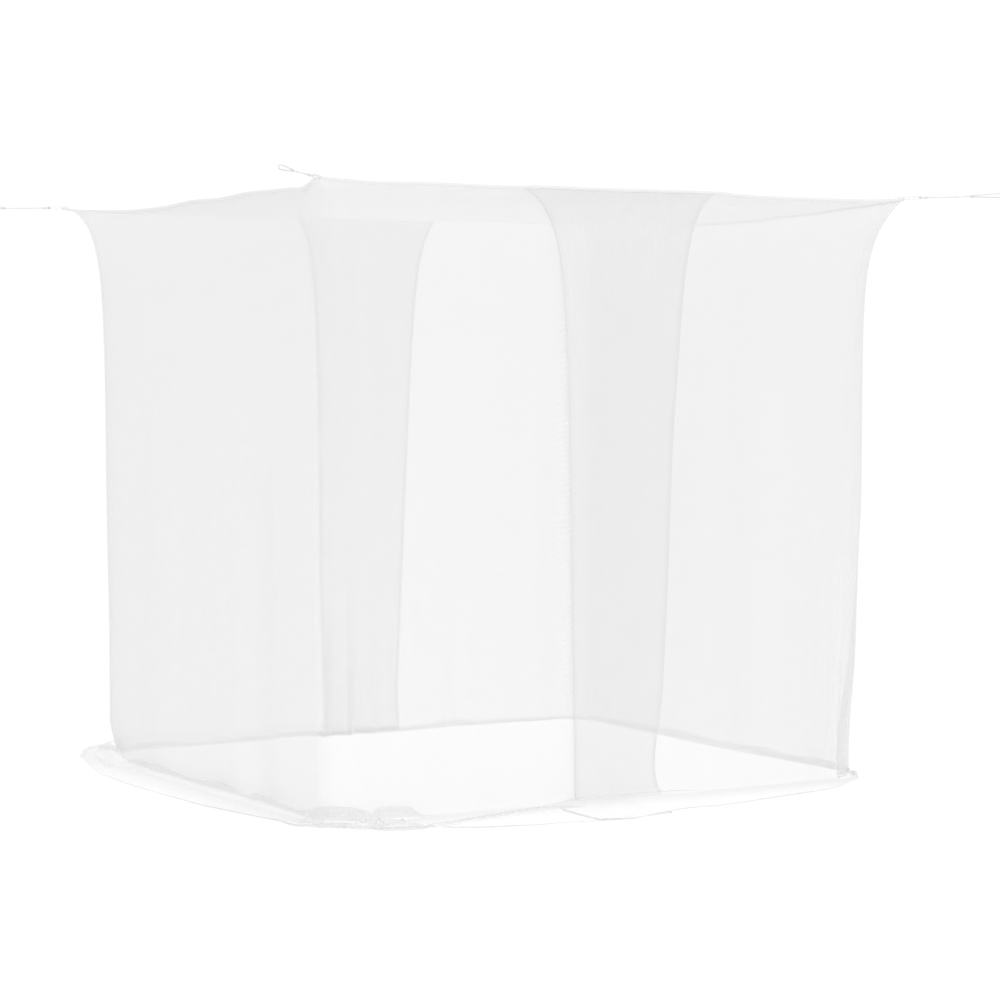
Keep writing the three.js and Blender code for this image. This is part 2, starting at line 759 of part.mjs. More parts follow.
// The cord's hitch: a ring through the tab's loop, tied in a knot outside it.
function cordHitch(corner) {
  const points = [];
  const steps = 14;
  const gap = 0.4; // of a step, where its ends meet inside the knot
  for (let step = 0; step <= steps; step += 1) {
    const angle = (2 * Math.PI * (step + gap / 2)) / (steps + gap);
    const x = hitchCentre + hitchRadius * Math.cos(angle);
    points.push(new THREE.Vector3(x, hitchRadius * Math.sin(angle), cordLevel));
  }
  const ring = atCorner(cordAlong(points, steps), corner);
  return joined(ring, atCorner(knot(hitchCentre + hitchRadius), corner));
}

// The cord's end loop, upright and long, closed by a knot.
function cordEndLoop(corner) {
  const half = (sign) => endLoopRoute.map(
    ({ out, up }) => new THREE.Vector3(endKnotAt + out, 0, cordLevel + sign * up),
  );
  const points = [...half(1), ...half(-1).reverse().slice(1)];
  const loop = atCorner(cordAlong(points, endLoopSteps), corner);
  return joined(loop, atCorner(knot(endKnotAt), corner));
}

// The cord's run between the hitch and the end loop.
function cordRun(corner) {
  const points = cordRoute.map(({ out, side, up }) => new THREE.Vector3(out, side, cordLevel + up));
  return atCorner(cordAlong(points, cordSteps), corner);
}

const canopy = new THREE.Group();
canopy.position.set(roofCentre.x, roofCentre.y, 0);

function addPiece(name, geometry, material) {
  const mesh = new THREE.Mesh(geometry, material);
  mesh.name = name;
  canopy.add(mesh);
}

addPiece('roof_panel', roofPanel(), netMaterial);
cloths.forEach((cloth) => addPiece(cloth.name, wallCloth(cloth), netMaterial));
sides.forEach(({ name }, side) => addPiece(`edge_tape_${name}`, edgeTape(side), tapeMaterial));
corners.forEach((corner) => {
  addPiece(`corner_tab_${corner.name}`, cornerTab(corner), tapeMaterial);
  addPiece(`cord_hitch_${corner.name}`, cordHitch(corner), cordMaterial);
  addPiece(`cord_run_${corner.name}`, cordRun(corner), cordMaterial);
  addPiece(`cord_loop_${corner.name}`, cordEndLoop(corner), cordMaterial);
});

const part = new THREE.Group();
part.add(canopy);

export default part;
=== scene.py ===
# Mosquito net canopy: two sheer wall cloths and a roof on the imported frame, taut corner cords, hem on
# the floor. Metres, +Z up; tables of folds are in millimetres where their comment says so.
import math

import bpy
import numpy as np
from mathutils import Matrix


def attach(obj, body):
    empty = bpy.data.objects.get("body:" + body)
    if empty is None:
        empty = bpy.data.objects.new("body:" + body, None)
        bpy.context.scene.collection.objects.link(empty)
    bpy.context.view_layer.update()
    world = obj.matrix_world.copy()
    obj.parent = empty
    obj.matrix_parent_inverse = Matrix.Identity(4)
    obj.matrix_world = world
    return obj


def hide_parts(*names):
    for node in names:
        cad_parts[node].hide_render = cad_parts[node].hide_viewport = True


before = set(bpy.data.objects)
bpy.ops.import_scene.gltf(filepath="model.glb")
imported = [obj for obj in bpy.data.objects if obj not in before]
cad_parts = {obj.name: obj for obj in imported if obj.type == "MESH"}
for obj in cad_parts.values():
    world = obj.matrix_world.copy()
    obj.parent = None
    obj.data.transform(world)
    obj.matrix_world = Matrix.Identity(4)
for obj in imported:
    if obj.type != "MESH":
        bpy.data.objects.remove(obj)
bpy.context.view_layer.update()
print("frame loaded:", len(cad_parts), "nodes")

mm = 0.001

camera = {
    "place": (-4.925, -8.606, 1.400),
    "yaw": 30.44,      # degrees to the right of +Y
    "pitch": -2.76,
    "lens": 103.78,
    "sensor": 36.0,
}


def addCamera(settings):
    data = bpy.data.cameras.new("camera")
    data.lens = settings["lens"]
    data.sensor_width = settings["sensor"]
    data.clip_end = 200
    body = bpy.data.objects.new("camera", data)
    body.location = settings["place"]
    body.rotation_euler = (math.radians(90 + settings["pitch"]), 0, -math.radians(settings["yaw"]))
    bpy.context.scene.collection.objects.link(body)
    bpy.context.scene.camera = body


addCamera(camera)

roof = {
    "length": 2.2,
    "width": 2.0,
    "centre": (0.045, 0.050),
    "sag": 0.024,
    "bow": 0.055,      # the middle of an edge is drawn in this far
    "under": 0.001,    # its net lies this far under its edges
}
# corner: sign of x, sign of y, height, rise of its cord
corners = np.array([
    (-1, -1, 1.947, 0.020),
    (1, -1, 1.946, 0.015),
    (1, 1, 1.947, 0.030),
    (-1, 1, 1.946, 0.010),
])


# Smooth curve through a table's column: on each stretch the straight line plus s(1-s) times the bend
# that the slopes at its two ends ask for; level beyond the table's ends.
def valueAt(rows, at, column=1):
    table = np.array(rows, float)
    xs, ys = table[:, 0], table[:, column]
    before = np.maximum(np.arange(len(xs)) - 1, 0)
    after = np.minimum(np.arange(len(xs)) + 1, len(xs) - 1)
    slopes = (ys[after] - ys[before]) / (xs[after] - xs[before])
    x = np.clip(at, xs[0], xs[-1])
    i = np.clip(np.searchsorted(xs, x, side="right") - 1, 0, len(xs) - 2)
    span = xs[i + 1] - xs[i]
    s = (x - xs[i]) / span
    rise = ys[i + 1] - ys[i]
    startBend = slopes[i] * span - rise
    endBend = rise - slopes[i + 1] * span
    return ys[i] + rise * s + s * (1 - s) * (startBend * (1 - s) + endBend * s)


# Smooth step from 0 to 1: s squared times (3 - 2 s).
def ease(share):
    s = np.clip(share, 0, 1)
    return s * s * (3 - 2 * s)


def lerp(a, b, share):
    return a + (b - a) * share


# Unit normals of a grid of points: the cross product of its steps down and along.
def gridNormals(points):
    down = np.gradient(points, axis=0)
    along = np.gradient(points, axis=1)
    normals = np.cross(down, along)
    return normals / np.maximum(np.linalg.norm(normals, axis=-1, keepdims=True), 1e-12)


# Mesh of quads over a grid of points. Its UV map, in metres along the cloth, gives the weave its scale.
def addGrid(name, points, material, uv):
    rows, columns = points.shape[:2]
    index = np.arange(rows * columns).reshape(rows, columns)
    faces = np.stack([index[:-1, :-1], index[1:, :-1], index[1:, 1:], index[:-1, 1:]], -1).reshape(-1, 4)
    mesh = bpy.data.meshes.new(name)
    mesh.vertices.add(rows * columns)
    mesh.vertices.foreach_set("co", points.reshape(-1).astype(np.float32))
    mesh.loops.add(faces.size)
    mesh.loops.foreach_set("vertex_index", faces.reshape(-1).astype(np.int32))
    mesh.polygons.add(len(faces))
    mesh.polygons.foreach_set("loop_start", (np.arange(len(faces)) * 4).astype(np.int32))
    mesh.update(calc_edges=True)
    mesh.polygons.foreach_set("use_smooth", np.ones(len(faces), bool))
    layer = mesh.uv_layers.new(name="cloth")
    layer.data.foreach_set("uv", uv.reshape(-1, 2)[faces.reshape(-1)].reshape(-1).astype(np.float32))
    mesh.materials.append(material)
    piece = bpy.data.objects.new(name, mesh)
    bpy.context.scene.collection.objects.link(piece)
    return piece


# Length run along one axis of a grid of points, from its first row or column: the sum of its steps.
def runLength(points, axis):
    steps = np.linalg.norm(np.diff(points, axis=axis), axis=-1)
    start = np.zeros_like(np.take(steps, [0], axis))
    return np.concatenate([start, np.cumsum(steps, axis=axis)], axis)


# sRGB hex to linear: ((c + 0.055) / 1.055)^2.4, or c / 12.92 in the darkest part.
def colour(text):
    parts = [int(text[i:i + 2], 16) / 255 for i in (1, 3, 5)]
    return tuple(c / 12.92 if c <= 0.04045 else ((c + 0.055) / 1.055) ** 2.4 for c in parts) + (1.0,)


def addNode(tree, kind, settings=None, inputs=None):
    node = tree.nodes.new(kind)
    for name, value in (settings or {}).items():
        setattr(node, name, value)
    for name, value in (inputs or {}).items():
        if isinstance(value, bpy.types.NodeSocket):
            tree.links.new(value, node.inputs[name])
        else:
            node.inputs[name].default_value = value
    return node


def newMaterial(name):
    material = bpy.data.materials.new(name)
    material.use_nodes = True
    material.node_tree.nodes.clear()
    return material, material.node_tree


def compute(tree, operation, *values):
    return addNode(tree, "ShaderNodeMath", {"operation": operation}, dict(enumerate(values))).outputs[0]


def clothMap(tree):
    return addNode(tree, "ShaderNodeUVMap", {"uv_map": "cloth"}).outputs["UV"]


def turnedMap(tree, uv, degrees):
    turned = addNode(tree, "ShaderNodeMapping", {}, {"Vector": uv, "Rotation": (0, 0, math.radians(degrees))})
    return turned.outputs["Vector"]


# Soft bands a pitch apart: a wave texture of scale 1 has them 0.314 apart.
def bands(tree, uv, pitch, direction="X", distortion=0.0):
    wave = addNode(tree, "ShaderNodeTexWave", {"wave_type": "BANDS", "bands_direction": direction},
                   {"Vector": uv, "Scale": 0.314 / pitch, "Distortion": distortion})
    return wave.outputs["Fac"]


def mixColours(tree, share, first, second):
    inputs = {0: share, 6: colour(first), 7: colour(second)}
    return addNode(tree, "ShaderNodeMix", {"data_type": "RGBA"}, inputs).outputs[2]


# Matt surface with the given inputs of the Principled shader, ending the material's tree.
def surface(tree, inputs):
    shader = addNode(tree, "ShaderNodeBsdfPrincipled", {}, inputs)
    out = addNode(tree, "ShaderNodeOutputMaterial")
    tree.links.new(shader.outputs["BSDF"], out.inputs["Surface"])


# Points along a smooth curve through the given ones, about a step apart; the curve's parameter is the
# distance run from point to point.
def smoothLine(through, step):
    through = np.array(through, float)
    run = np.concatenate([[0], np.cumsum(np.linalg.norm(np.diff(through, axis=0), axis=1))])
    at = np.linspace(0, run[-1], int(round(run[-1] / step)) + 1)
    return np.stack([valueAt(np.column_stack([run, through[:, k]]), at) for k in range(3)], 1)


# Solid made by a section carried along a line: centre + a * across + b * over for each section point
# (a, b). Both of its ends close on the line.
def sweepGrid(line, across, section, closed=False):
    along = np.gradient(line, axis=0)
    along /= np.linalg.norm(along, axis=1, keepdims=True)
    over = np.cross(along, np.broadcast_to(across, line.shape))
    over /= np.linalg.norm(over, axis=1, keepdims=True)
    sideways = np.cross(over, along)
    ring = np.concatenate([section, section[:1]])[::-1]
    points = line[:, None] + sideways[:, None] * ring[None, :, :1] + over[:, None] * ring[None, :, 1:]
    if closed:
        return points
    middle = np.broadcast_to(line[:, None], points.shape)
    return np.concatenate([middle[:1], points, middle[-1:]])


# Rectangle with rounded corners, as points round it from its middle.
def roundedSection(width, height, radius, perCorner=4):
    turns = np.linspace(0, math.pi / 2, perCorner)
    corner = np.stack([np.cos(turns), np.sin(turns)], 1) * radius
    quarter = corner + (width / 2 - radius, height / 2 - radius)
    second = corner[::-1] * (-1, 1) + (radius - width / 2, height / 2 - radius)
    return np.concatenate([quarter, second, -quarter, -second])


# Map of a swept piece: the distances run round it and along it.
def sweptUv(points):
    return np.stack([runLength(points, 1), runLength(points, 0)], -1)


# Moves points made along +X, with +Y to their left, out along the roof's diagonal at a corner, tilted
# up by the cord's rise.
def atCorner(points, corner):
    signX, signY, height, rise = corner
    turn, slope = math.atan2(signY, signX), math.atan(rise)
    x, y, z = points[..., 0], points[..., 1], points[..., 2]
    ahead = x * math.cos(slope) - z * math.sin(slope)
    return np.stack([
        ahead * math.cos(turn) - y * math.sin(turn) + signX * roof["length"] / 2 + roof["centre"][0],
        ahead * math.sin(turn) + y * math.cos(turn) + signY * roof["width"] / 2 + roof["centre"][1],
        x * math.sin(slope) + z * math.cos(slope) + height,
    ], -1)


# Cords: one at each corner, out along the roof's diagonal. A hitch goes through the tab's loop, a taut
# run follows, and a long end loop for the ceiling's hook; a knot ties the hitch and another the loop.
cord = {
    "diameter": 0.004,
    "length": 0.463,
    "sides": 16,
    "step": 0.0022,
    "level": -0.0023,        # its line lies this far under the corner
    "hitchCentre": 0.0586,
    "hitchRadius": 0.0095,
    "knotAt": 0.221,
    "turnFrom": 0.10,        # the section turns upright from here on, over this much of the run
    "turnOver": 0.09,
    # out along the diagonal, to the side, over the level
    "run": [
        (0.0741, 0, 0), (0.080, 0, -0.0001), (0.089, 0.0001, -0.0003), (0.098, 0.0003, -0.0004),
        (0.108, 0.0004, -0.0006), (0.118, 0.0004, -0.0007), (0.128, 0.0003, -0.0008),
        (0.138, 0.0001, -0.0009), (0.148, -0.0001, -0.0009), (0.158, -0.0003, -0.0009),
        (0.168, -0.0004, -0.0008), (0.178, -0.0004, -0.0007), (0.188, -0.0003, -0.0005),
        (0.198, -0.0001, -0.0003), (0.208, 0, -0.0001), (0.2156, 0, 0),
    ],
    # upper half of the end loop: out from its knot, over the level; the lower half mirrors it
    "loop": [
        (-0.001, 0.0024), (0.012, 0.0028), (0.036, 0.0041), (0.062, 0.0055), (0.088, 0.0064),
        (0.106, 0.0064), (0.117, 0.0053), (0.1223, 0.0033), (0.124, 0),
    ],
}
knotShape = {
    "size": 0.00118,
    "height": 0.0019,
    "stretch": 1.18,
    "leans": (0.3, 1.1, 2.0, 2.9),   # radians, one for each corner
    "loopLean": 1.3,                 # the loop's knot leans this much more
    "pastHitch": 0.002,
}
# the hollows' colour is painted shade between the white strands
cordFinish = {"strands": "#f1f1f0", "hollowShade": "#d6d8d7", "pitch": 0.0011}
cornerNames = ("front_left", "front_right", "back_right", "back_left")


# Line of one cord: the hitch's ring, the run, and the end loop out and back to its knot.
def cordLine(settings):
    turns = np.linspace(0, 2 * math.pi, 28)
    ring = np.stack([
        settings["hitchCentre"] + settings["hitchRadius"] * np.cos(turns),
        settings["hitchRadius"] * np.sin(turns),
        np.full(len(turns), settings["level"]),
    ], 1)
    run = np.array(settings["run"]) + (0, 0, settings["level"])
    half = np.array([(settings["knotAt"] + out, 0, up) for out, up in settings["loop"]])
    loop = np.concatenate([half, half[-2::-1] * (1, 1, -1)]) + (0, 0, settings["level"])
    return smoothLine(np.concatenate([ring, run, loop]), settings["step"])


# Braided polyester cord, white: strands cross at 45 degrees in the map of its own surface, and the hollows
# between them get a darker colour, painted shade.
def braidedCord(settings):
    material, tree = newMaterial("braided_polyester_cord")
    uv = clothMap(tree)
    ways = [turnedMap(tree, uv, turn) for turn in (45, -45)]
    braid = compute(tree, "MAXIMUM", *[bands(tree, way, settings["pitch"], distortion=0.4) for way in ways])
    bump = addNode(tree, "ShaderNodeBump", {}, {"Strength": 0.8, "Distance": 0.0004, "Height": braid})
    surface(tree, {
        "Base Color": mixColours(tree, braid, settings["hollowShade"], settings["strands"]),
        "Roughness": 0.8,
        "Specular IOR Level": 0.2,
        "Normal": bump.outputs["Normal"],
    })
    return material


cordMaterial = braidedCord(cordFinish)


def roundSection(radius, sides):
    turns = np.linspace(0, 2 * math.pi, sides, endpoint=False)
    return np.stack([np.cos(turns), np.sin(turns)], 1) * radius


# A tight overhand knot: a tube along (sin t + 2 sin 2t, cos t - 2 cos 2t, -sin 3t).
def knotGrid(out, lean, settings):
    t = np.linspace(0, 2 * math.pi, 97)
    line = np.stack([
        (np.sin(t) + 2 * np.sin(2 * t)) * settings["size"] * settings["stretch"],
        (np.cos(t) - 2 * np.cos(2 * t)) * settings["size"],
        -np.sin(3 * t) * settings["height"],
    ], 1)
    points = sweepGrid(line, (0, 0, 1), roundSection(cord["diameter"] / 2, cord["sides"]), closed=True)
    points[-1] = points[0]
    y, z = points[..., 1].copy(), points[..., 2].copy()
    points[..., 1] = y * math.cos(lean) - z * math.sin(lean)
    points[..., 2] = y * math.sin(lean) + z * math.cos(lean) + cord["level"]
    points[..., 0] += out
    return points


# The tube along the cord's line. Its section turns from flat at the hitch to upright at the end loop.
def cordGrid(line, settings):
    turn = ease((line[:, 0] - settings["turnFrom"]) / settings["turnOver"])[:, None] * math.pi / 2
    beyond = np.arange(len(line)) > np.argmax(line[:, 0])
    turn[beyond] = math.pi / 2
    across = np.cos(turn) * (0, 0, 1) + np.sin(turn) * (0, 1, 0)
    return sweepGrid(line, across, roundSection(settings["diameter"] / 2, settings["sides"]))


for name, corner, lean in zip(cornerNames, corners, knotShape["leans"]):
    line = cordLine(cord)
    placed = atCorner(cordGrid(line, cord), corner)
    pieces = [addGrid("cord_" + name, placed, cordMaterial, sweptUv(placed))]
    hitchKnotAt = cord["hitchCentre"] + cord["hitchRadius"] + knotShape["pastHitch"]
    knots = ("hitch", hitchKnotAt, lean), ("loop", cord["knotAt"], lean + knotShape["loopLean"])
    for label, out, turn in knots:
        lump = atCorner(knotGrid(out, turn, knotShape), corner)
        pieces.append(addGrid(label + "_knot_" + name, lump, cordMaterial, sweptUv(lump)))
    for piece in pieces:
        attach(piece, "root")
    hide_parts("cord_hitch_" + name, "cord_run_" + name, "cord_loop_" + name)
print("cords:", cord["length"], "m each, line", round(float(runLength(line[:, None], 0)[-1, 0]), 4), "m")

# Shape of the cloths. Places round the net count its sides: 0 front, 1 right, 2 back, 3 left.
foot = {"length": 2.0, "width": 1.82, "shift": -0.020, "radius": 0.100}
settle = {"depth": 0.095, "power": 0.7, "standFrom": 0.9, "standOver": 1.0, "swellOver": 0.7}
wallTop = 0.003        # the cloth is sewn to the roof this far under its edge
sideMetres = 1.957     # length of a side at the foot, as the creases and hems measure it
sideOut = np.array([(0, -1), (1, 0), (0, 1), (-1, 0)], float)

# side: share along it, drop of its roof edge in mm
edgeDrops = [
    [(0, 0), (0.045, 5), (0.095, 8), (0.18, 4), (0.31, 5), (0.36, 1), (0.5, 1), (0.67, 0),
     (0.7, 5), (0.76, 9), (0.91, 10), (0.965, 7), (1, 0)],
    [(0, 0), (0.02, 6), (0.077, 15), (0.135, 20), (0.26, 34), (0.33, 36), (0.4, 44), (0.56, 42),
     (0.75, 27), (0.9, 12), (1, 0)],
    [(0, 0), (0.1, -3), (0.3, -5), (0.6, -7), (0.75, 2), (0.88, 9), (1, 0)],
    [(0, 0), (0.05, 11), (0.117, 19), (0.22, 29), (0.29, 32), (0.39, 30), (0.5, 21), (0.6, 24),
     (0.715, 17), (0.79, 19), (0.9, 23), (0.945, 25), (1, 0)],
]

# place round the net (side + share): settling depth in mm, its power, stand of the wall in mm
hangs = [
    (0, 95, 0.7, 14), (0.3, 95, 0.7, 0), (0.68, 95, 0.7, 0), (0.9, 113, 0.95, 32),
    (1, 120, 1.05, 40), (1.1, 113, 0.95, 34), (1.35, 95, 0.7, 6), (1.7, 95, 0.7, 0),
    (2, 95, 0.7, 12), (2.3, 95, 0.7, 0), (3.6, 95, 0.7, 0), (3.75, 95, 0.7, 4), (4, 95, 0.7, 14),
]


# How far the wall has left the roof edge's shape: 1 minus e to the minus (depth / over)^power.
def settled(depth, over=settle["depth"], power=settle["power"]):
    return 1 - np.exp(-np.power(np.maximum(depth, 0) / over, power))


# Point of the roof's edge: the line between two corners, drawn in by bow times 4 s (1 - s) and lowered
# by the side's table.
def roofEdge(side, share, outset=0.0):
    after = (side + 1) % 4
    bow = outset - roof["bow"] * 4 * share * (1 - share)
    drop = np.zeros(np.broadcast(side, share).shape)
    for index, rows in enumerate(edgeDrops):
        drop = np.where(side == index, valueAt(rows, share), drop)
    return np.stack([
        lerp(corners[side, 0], corners[after, 0], share) * roof["length"] / 2 + sideOut[side, 0] * bow,
        lerp(corners[side, 1], corners[after, 1], share) * roof["width"] / 2 + sideOut[side, 1] * bow,
        lerp(corners[side, 2], corners[after, 2], share) - drop * mm,
    ], -1)


# Half length of a side, its straight part, half of a corner's arc, and its whole run.
def footSide(side):
    half = np.where(np.asarray(side) % 2 == 0, foot["length"], foot["width"]) / 2
    straight = 2 * (half - foot["radius"])
    halfArc = foot["radius"] * math.pi / 4
    return half, straight, halfArc, straight + 2 * halfArc


# Point of the rounded rectangle where the walls meet the floor, its middle shifted, and its outward
# direction.
def footPoint(side, share):
    half, straight, halfArc, whole = footSide(side)
    depth = footSide(side + 1)[0]
    radius = foot["radius"]
    run = share * whole
    past = run - halfArc - straight
    angle = np.where(run < halfArc, (run - halfArc) / radius, np.where(past > 0, past / radius, 0))
    along = np.where(run < halfArc, radius - half,
                     np.where(past > 0, half - radius, run - halfArc - straight / 2))
    out = sideOut[side]
    ahead = np.stack([-out[..., 1], out[..., 0]], -1)
    forward = along + radius * np.sin(angle)
    outwards = depth - radius + radius * np.cos(angle)
    place = ahead * forward[..., None] + out * outwards[..., None] + foot["shift"]
    return place, ahead * np.sin(angle)[..., None] + out * np.cos(angle)[..., None]


# free edge: side, x at the seam, below it, at the floor and at the end of the hem
freeEdges = {
    "frontLeft": (0, 0.383, 0.255, 0.165, -0.005),
    "frontRight": (0, -0.377, -0.192, -0.162, -0.285),
    "backLeft": (2, 0.423, 0.280, 0.190, 0.195),
    "backRight": (2, -0.236, -0.146, -0.130, -0.150),
}


# depth in m, how far the left cloth's free edge wanders to the side in mm
edgeWaves = [
    (0, 0), (0.5, 3), (0.8, -2), (1.2, 2), (1.58, 0), (1.68, -6), (1.76, -16), (1.815, -22),
    (1.865, -10), (1.895, 6), (1.947, 8),
]


# Share along its side where a free edge is at a depth; on the floor it slants on to the hem's end.
def freeEdgeShare(edge, depth, floorShare):
    side, seam, below, atFoot, hem = freeEdges[edge]
    weight = settled(depth)
    onWall = lerp(seam, lerp(below, atFoot, depth / corners[0, 2]), weight)
    if edge == "frontLeft":
        onWall = onWall + valueAt(edgeWaves, depth) * mm
    x = lerp(onWall, hem, floorShare) - foot["shift"] * weight
    sideLength = lerp(roof["length"], footSide(side)[3], weight)
    return 0.5 + (x if side == 0 else -x) / sideLength


# hem: place, reach over the floor in mm
# ridge: place, height in mm of the slumped fold beside the wall's foot; lean: place, its lean in mm
# creases: half width and lean in mm, then rows of (place, out in mm, height in mm)
# swells: place, out in mm, half width in sides, depth in m where it starts and, in some, over how much
# The low folds of the back overlap are in both of its cloths.
overlapFolds = [
    (2.456, -13, 0.019, 1.4, 0.45), (2.48, 16, 0.019, 1.4, 0.45), (2.504, -17, 0.019, 1.35, 0.45),
    (2.528, 17, 0.019, 1.3, 0.45), (2.552, -14, 0.019, 1.35, 0.45),
]
clothLeft = {
    "name": "wall_net_left",
    "node": "wall_cloth_left",
    "firstSide": 2,
    "start": "backLeft",
    "end": "frontLeft",
    "inner": "backRight",
    "hem": [
        (2.39, 110), (2.44, 205), (2.5, 285), (2.66, 305), (2.86, 335), (2.9, 322), (2.93, 265),
        (2.962, 190), (3.005, 98), (3.04, 106), (3.083, 126), (3.14, 153), (3.25, 200),
        (3.382, 214), (3.527, 212), (3.64, 204), (3.723, 198), (3.782, 180), (3.84, 161),
        (3.9, 142), (3.95, 126), (3.98, 140), (4, 128), (4.02, 165), (4.045, 222), (4.08, 236),
        (4.113, 242), (4.165, 298), (4.258, 342), (4.3, 345), (4.36, 370), (4.41, 385),
        (4.44, 362), (4.472, 348), (4.6, 296),
    ],
    "curlEnd": 4.4,
    "ridge": [
        (2.38, 5), (2.44, 12), (2.5, 6), (2.6, 11), (2.66, 17), (2.72, 12), (2.8, 9), (2.85, 14),
        (2.9, 17), (2.94, 12), (2.98, 12), (3.02, 18), (3.06, 16), (3.1, 19), (3.16, 17), (3.2, 20),
        (3.27, 25), (3.316, 29), (3.37, 26), (3.454, 21), (3.52, 24),
        (3.547, 27), (3.595, 35), (3.642, 31), (3.68, 22), (3.713, 19), (3.746, 31), (3.795, 34),
        (3.839, 27), (3.898, 19), (3.94, 24), (3.97, 34), (3.985, 42), (4.0, 44), (4.02, 42),
        (4.03, 38), (4.042, 30), (4.052, 24), (4.061, 33), (4.075, 37), (4.1, 33), (4.12, 29),
        (4.135, 14), (4.15, 5), (4.2, 3), (4.35, 2.5), (4.6, 3),
    ],
    "lean": [
        (2.38, 0), (3.0, 2), (3.1, 8), (3.3, 3), (3.6, 7), (3.7, 2), (3.8, 8), (3.95, 3), (4.0, 10),
        (4.1, 4), (4.6, 0),
    ],
    "creases": [
        (13, 6, [(3.950, 92, 3), (3.972, 76, 18), (3.990, 62, 34), (4.012, 54, 30), (4.035, 60, 12)]),
        (9, 4, [(3.952, 96, 3), (3.975, 98, 12), (3.995, 92, 16), (4.02, 84, 12), (4.04, 84, 4)]),
        (9, 3, [(3.960, 108, 3), (3.985, 122, 8), (4.01, 126, 10), (4.04, 128, 5)]),
        (10, 4, [(4.093, 240, 6), (4.148, 190, 14), (4.197, 176, 17), (4.247, 147, 17),
                 (4.298, 125, 18), (4.355, 108, 16), (4.42, 116, 7)]),
        (11, 2, [(4.02, 44, 3), (4.027, 64, 14), (4.037, 96, 22), (4.07, 141, 22),
                 (4.094, 205, 12), (4.12, 236, 4)]),
        (11, 2, [(4.008, 124, 6), (4.027, 168, 18), (4.043, 178, 20), (4.074, 192, 20), (4.1, 228, 8)]),
        (9, 1, [(4.064, 40, 5), (4.052, 74, 20), (4.042, 130, 20), (4.034, 168, 6)]),
        (10, 1, [(4.10, 60, 4), (4.088, 90, 16), (4.08, 140, 17), (4.078, 180, 8)]),
        (8, 2, [(4.080, 196, 3), (4.120, 176, 8), (4.17, 165, 9), (4.22, 180, 3)]),
        (38, 3, [(2.97, 46, 4), (3.01, 36, 14), (3.05, 26, 28), (3.085, 22, 36), (3.12, 24, 28),
                 (3.17, 36, 5)]),
        (9, 3, [(3.0, 36, 3), (3.05, 50, 9), (3.091, 65, 12), (3.14, 86, 11), (3.176, 106, 10),
                (3.225, 142, 4)]),
        (7, 3, [(3.080, 30, 2), (3.103, 34, 9), (3.160, 40, 11), (3.230, 30, 8), (3.27, 24, 2)]),
        (14, 4, [(2.62, 60, 4), (2.68, 48, 18), (2.74, 52, 10), (2.80, 40, 3)]),
        (13, 4, [(2.83, 70, 4), (2.87, 56, 20), (2.915, 50, 22), (2.95, 66, 4)]),
    ],
    "swells": overlapFolds + [
        (2.62, 9, 0.07, 0.9), (2.9, -8, 0.06, 0.4), (3.01, -38, 0.1, 1.8, 0.15),
        (3.0, -12, 0.07, 0.95), (2.42, -24, 0.14, 1.78, 0.16), (3.3, 7, 0.12, 0.3),
        (3.72, -8, 0.1, 0.5), (4.13, 8, 0.06, 0.7), (4.3, -6, 0.07, 0.3),
    ],
}
clothRight = {
    "name": "wall_net_right",
    "node": "wall_cloth_right",
    "firstSide": 0,
    "start": "frontRight",
    "end": "backRight",
    "inner": "frontLeft",
    "hem": [
        (0.36, 372), (0.422, 400), (0.472, 367), (0.568, 315), (0.605, 311), (0.745, 257),
        (0.792, 238), (0.843, 216), (0.897, 180), (0.95, 104), (1, 34), (1.06, 42), (1.177, 34),
        (1.292, 46), (1.383, 68), (1.482, 70), (1.59, 93), (1.72, 142), (1.843, 136),
        (1.93, 110), (2.007, 82), (2.053, 54), (2.103, 44), (2.197, 82), (2.24, 108),
        (2.312, 92), (2.6, 112),
    ],
    "curlEnd": 2.44,
    "ridge": [
        (0.36, 3), (0.5, 2), (0.62, 1), (0.9, 2), (0.96, 5), (1.0, 12), (1.04, 17), (1.08, 22),
        (1.14, 26), (1.18, 22), (1.24, 17), (1.3, 25), (1.38, 19), (1.5, 18), (1.62, 22), (1.75, 17),
        (1.9, 18), (1.98, 10), (2.05, 9), (2.12, 16), (2.2, 14), (2.26, 22), (2.34, 14), (2.45, 12), (2.6, 6),
    ],
    "lean": [(0.36, 0), (1.0, 1), (1.4, 3), (1.9, 2), (2.6, 0)],
    "creases": [
        (7, 2, [(0.975, 14, 2), (1.0, 22, 7), (1.03, 28, 6), (1.06, 26, 2)]),
    ],
    "swells": overlapFolds + [
        (0.72, 7, 0.08, 0.3), (0.93, -12, 0.045, 0.8), (1.05, 14, 0.04, 0.9),
        (1.34, -9, 0.1, 0.3), (1.66, 8, 0.1, 0.6), (2.08, -8, 0.05, 0.5),
        (2.26, 13, 0.035, 1.1), (0.955, 14, 0.014, 1.0), (0.973, -12, 0.012, 1.0),
        (0.991, 16, 0.014, 1.0), (1.008, -14, 0.012, 1.0), (1.026, 14, 0.014, 1.0),
        (1.0, -26, 0.05, 1.5, 0.35), (1.5, -22, 0.42, 1.76, 0.16), (2.4, -24, 0.22, 1.78, 0.16),
    ],
}
overlap = {
    "seam": 0.0035,        # the outer cloth's stand at the seam, down the wall and on the floor
    "wall": 0.012,
    "floor": 0.005,
    "depth": 0.2,          # it opens over this depth
    "margin": 0.045,       # and closes past the inner cloth's edge, over the ramp
    "ramp": 0.17,
    "edgeDepth": 1.9,
}
